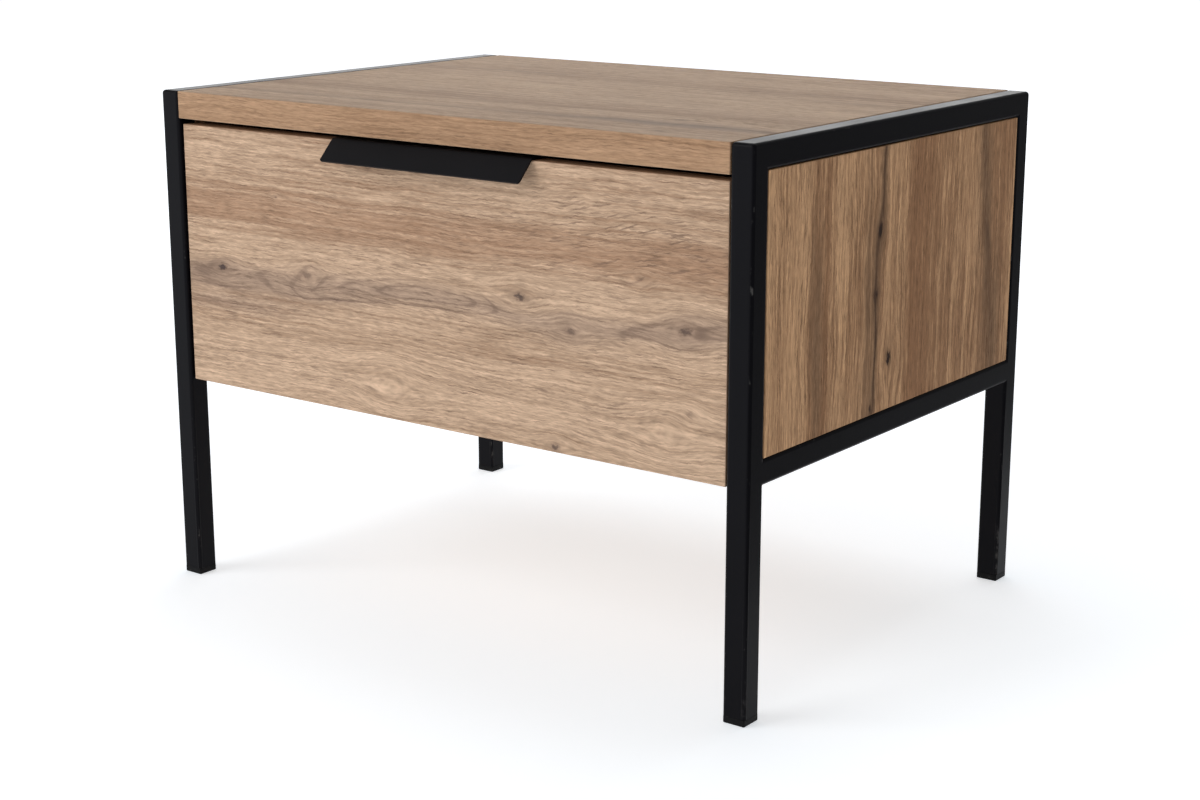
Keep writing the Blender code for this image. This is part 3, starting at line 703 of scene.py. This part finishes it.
def handle_path(low, high):
    """Middle line of the folded sheet, as (y, z): lip, top plate, rear flange."""
    half = HANDLE_SHEET / 2
    plate_z = high.z - half
    lip_y, flange_y = low.y + half, high.y - half
    bend_y = lip_y + HANDLE_LIP_REACH - half
    corners = [(lip_y, plate_z - HANDLE_LIP_DROP), (bend_y, plate_z),
               (flange_y, plate_z), (flange_y, plate_z - HANDLE_FLANGE_DROP)]
    return filleted([Vector(c) for c in corners], HANDLE_BEND_R, HANDLE_BEND_STEPS)


def add_handle(material):
    low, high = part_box("handle")
    path = handle_path(low, high)
    bm = bmesh.new()

    # One strip of the sheet's middle surface, in rows of (distance from the
    # lip's edge, point), with more rows where the lip's corners are round.
    lip_way = (path[1] - path[0]).normalized()
    quarter_turn = [k / HANDLE_CORNER_STEPS * math.pi / 2 for k in range(HANDLE_CORNER_STEPS + 1)]
    corner_runs = [HANDLE_CORNER_R * (1 - math.cos(angle)) for angle in quarter_turn]
    rows = [(run, path[0] + lip_way * run) for run in corner_runs]
    run = 0.0
    for before, point in zip(path, path[1:]):
        run += (point - before).length
        rows.append((run, point))
    columns = []
    for run, point in rows:
        reach = max(HANDLE_CORNER_R - run, 0.0)
        cut = HANDLE_CORNER_R - math.sqrt(max(HANDLE_CORNER_R ** 2 - reach ** 2, 0.0))
        xs = (low.x + cut, low.x + HANDLE_CORNER_R, high.x - HANDLE_CORNER_R, high.x - cut)
        columns.append([bm.verts.new((x, point.x, point.y)) for x in xs])
    for first, second in zip(columns, columns[1:]):
        for k in range(len(first) - 1):
            bm.faces.new((first[k], first[k + 1], second[k + 1], second[k]))
    bmesh.ops.remove_doubles(bm, verts=bm.verts, dist=SAME_PLACE)
    piece = add_piece("handle_folded", bm, material, "drawer", ["handle"])
    thick = piece.modifiers.new("sheet", "SOLIDIFY")
    thick.thickness = HANDLE_SHEET
    thick.offset = 0.0
    thick.use_even_offset = True
    thick.use_quality_normals = True
    rounding = piece.modifiers.new("rounded edges", "BEVEL")
    rounding.width = HANDLE_EDGE_R
    rounding.segments = 2
    rounding.angle_limit = math.radians(50)
    rounding.harden_normals = True


# ------------------------------------------------------------ stage


def add_stage_object(name, bm, material):
    mesh = bpy.data.meshes.new(name)
    bm.to_mesh(mesh)
    bm.free()
    mesh.materials.append(material)
    obj = bpy.data.objects.new(name, mesh)
    bpy.context.scene.collection.objects.link(obj)
    return obj


def pale_floor():
    """Near-white floor that glows. The glow is weakest at the middle, a painted
    shade under the table, and grows outwards so that the floor stays white there.

    The glow is slightly blue, against the warm light off the boards.
    """
    material, g = new_graph("pale_floor")
    p = place_of(g)
    mottle = g.noise(p["x"] * 3.0, p["y"] * 3.0, detail=3.0)
    radius = g.math("SQRT", p["x"] * p["x"] + p["y"] * p["y"])
    g.surface({
        "Base Color": g.mix(mottle, rgb(0.74, 0.77, 0.80), rgb(0.76, 0.79, 0.82)),
        "Roughness": 0.9,
        "Specular IOR Level": 0.0,
        "Emission Color": rgb(0.97, 1.0, 1.03),
        # A weaker glow near the middle: painted shade under the table.
        "Emission Strength": 0.50 + g.step(radius, 0.1, 0.7) * 0.14 + g.step(radius, 0.6, 2.4) * 0.28,
    })
    return material


def add_floor():
    bm = bmesh.new()
    bmesh.ops.create_circle(bm, cap_ends=True, segments=96, radius=FLOOR_RADIUS)
    floor = add_stage_object("floor", bm, pale_floor())
    floor.location.z = -FLOOR_BELOW_FEET


def add_world():
    """White around the horizon, dimmer overhead and dimmer still to the right."""
    world = bpy.data.worlds.new("studio")
    bpy.context.scene.world = world
    world.use_nodes = True
    g = Graph(world.node_tree)
    d = g.split(g.node("TexCoord").outputs["Generated"])
    horizon = 1.0 - g.step(d["z"], 0.16, 0.36)
    right = g.step(d["x"], -0.1, 0.7)
    overhead = 0.32 - right * 0.20
    level = horizon * 1.02 + (1.0 - horizon) * overhead
    background = g.node("Background", {"Color": WHITE, "Strength": level})
    output = g.node("OutputWorld")
    g.tree.links.new(background.outputs[0], output.inputs["Surface"])


def add_softbox(name, location, size, power):
    light = bpy.data.lights.new(name, "AREA")
    light.shape = "RECTANGLE"
    light.size, light.size_y = size
    light.energy = power
    box = bpy.data.objects.new(name, light)
    box.location = location
    box.rotation_euler = (SOFTBOX_AIM - box.location).to_track_quat("-Z", "Y").to_euler()
    box.visible_camera = False
    bpy.context.scene.collection.objects.link(box)


def grey_felt():
    """Dark felt with a faint even glow."""
    material, g = new_graph("grey_felt")
    g.surface({
        "Base Color": rgb(0.01, 0.01, 0.01),
        "Roughness": 1.0,
        "Specular IOR Level": 0.0,
        "Emission Color": WHITE,
        "Emission Strength": 0.20,
    })
    return material


def add_grey_flag():
    """A dark card beside the table's right, seen only in the table's gloss."""
    _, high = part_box("right_side_panel")
    outline = ((FLAG_FRONT, 0.0), (FLAG_REAR, 0.0), (FLAG_REAR, FLAG_HEIGHT), (FLAG_FRONT, FLAG_HEIGHT))
    bm = bmesh.new()
    bm.faces.new([bm.verts.new((high.x + FLAG_FROM_TABLE, y, z)) for y, z in outline])
    flag = add_stage_object("grey_flag", bm, grey_felt())
    for ray in ("camera", "diffuse", "transmission", "volume_scatter", "shadow"):
        setattr(flag, f"visible_{ray}", False)


def add_camera():
    camera = bpy.data.cameras.new("camera")
    camera.lens = CAMERA_LENS_MM
    view = bpy.data.objects.new("camera", camera)
    away = Vector((
        math.sin(CAMERA_AZIMUTH) * math.cos(CAMERA_PITCH),
        -math.cos(CAMERA_AZIMUTH) * math.cos(CAMERA_PITCH),
        math.sin(CAMERA_PITCH),
    ))
    view.location = CAMERA_AIM + away * CAMERA_DISTANCE
    view.rotation_euler = (math.pi / 2 - CAMERA_PITCH, 0, CAMERA_AZIMUTH)
    bpy.context.scene.collection.objects.link(view)
    bpy.context.scene.camera = view


# ------------------------------------------------------------ the table

coat = powder_coat("black_powder_coat")
coat_handle = powder_coat("black_powder_coat_handle", wear=0.0, specular=0.16)
plastic = moulded_plastic("black_plastic")
oak_front = oak("oak_drawer_front", "x", "z", face=-1, tones=FRONT_TONES, reds=[(0.338, 0.020, 1.00)],
                greys=FRONT_GREYS, knots=FRONT_KNOTS, heart=FRONT_HEART,
                figure=(0.200, 0.352, 0.120, 0.034, 0.22), patchy=0.6, contrast=1.3)
oak_top = oak("oak_top", "x", "y", seed=11.0, palette=TOP_OAK_WITH_PAINTED_SHADE, tones=TOP_TONES, greys=TOP_GREYS,
              knots=TOP_KNOTS, streaks=[(TOP_LINE, 0.0022, 0.35)],
              figure=(0.230, -0.110, 0.060, 0.030, -0.15))
oak_band = oak("oak_top_edge_band", "x", "y", seed=17.0, palette=BAND_OAK)
oak_right = oak("oak_right_side", "z", "y", seed=23.0, palette=WARM_OAK, tones=SIDE_TONES,
                reds=[(-0.104, 0.009, 0.55), (0.036, 0.019, 0.58), (0.187, 0.004, 0.5)], greys=SIDE_GREYS,
                knots=SIDE_KNOTS, streaks=[(SIDE_LINE, 0.0018, 0.80), (SIDE_STREAK, 0.0050, 0.45)],
                sway=0.026, patchy=1.2, contrast=1.4)
oak_left = oak("oak_left_side", "z", "y", face=-1, seed=37.0, palette=WARM_OAK, contrast=1.1)
oak_back = oak("oak_back", "x", "z", seed=41.0)
oak_inner = oak("oak_inner", "y", "z", seed=53.0, contrast=0.5)
oak_cross = oak("oak_inner_cross", "x", "z", seed=59.0, contrast=0.5)
oak_floor = oak("oak_drawer_floor", "x", "y", seed=61.0, contrast=0.5)
zinc_long = zinc("zinc_slide", "y")
zinc_screw = zinc("zinc_screw", "z", bright=0.9)
cast = die_cast("die_cast")

for side in SIDES:
    add_side_frame(side, coat)
    for place in FRONT_REAR:
        add_foot_cap(f"foot_cap_{side}_{place}", plastic)
add_board("top_panel", oak_top, "cabinet", edge_band=oak_band)
add_board("right_side_panel", oak_right, "cabinet")
add_board("left_side_panel", oak_left, "cabinet")
add_board("back_panel", oak_back, "cabinet")
add_board("drawer_front", oak_front, "drawer")
add_handle(coat_handle)

NODE_MATERIALS = {
    "bottom_panel": oak_floor,
    "drawer_back": oak_cross,
    "drawer_bottom": oak_floor,
    "drawer_side": oak_inner,
    "drawer_cam": cast,
    "weld_tab": coat,
}
SLOT_MATERIALS = {"zinc_plate": zinc_long, "screw_zinc": zinc_screw}
slots = {row["node"]: row["material_slot"] for row in frame["record"]["subparts"]}
for node, obj in frame["nodes"].items():
    named = [material for start, material in NODE_MATERIALS.items() if node.startswith(start)]
    material = named[0] if named else SLOT_MATERIALS.get(slots[node])
    if material:
        obj.data.materials.clear()
        obj.data.materials.append(material)

add_floor()
add_world()
add_grey_flag()
for softbox in SOFTBOXES:
    add_softbox(*softbox)
add_camera()
bpy.context.scene.view_settings.view_transform = "Standard"

bpy.context.view_layer.update()
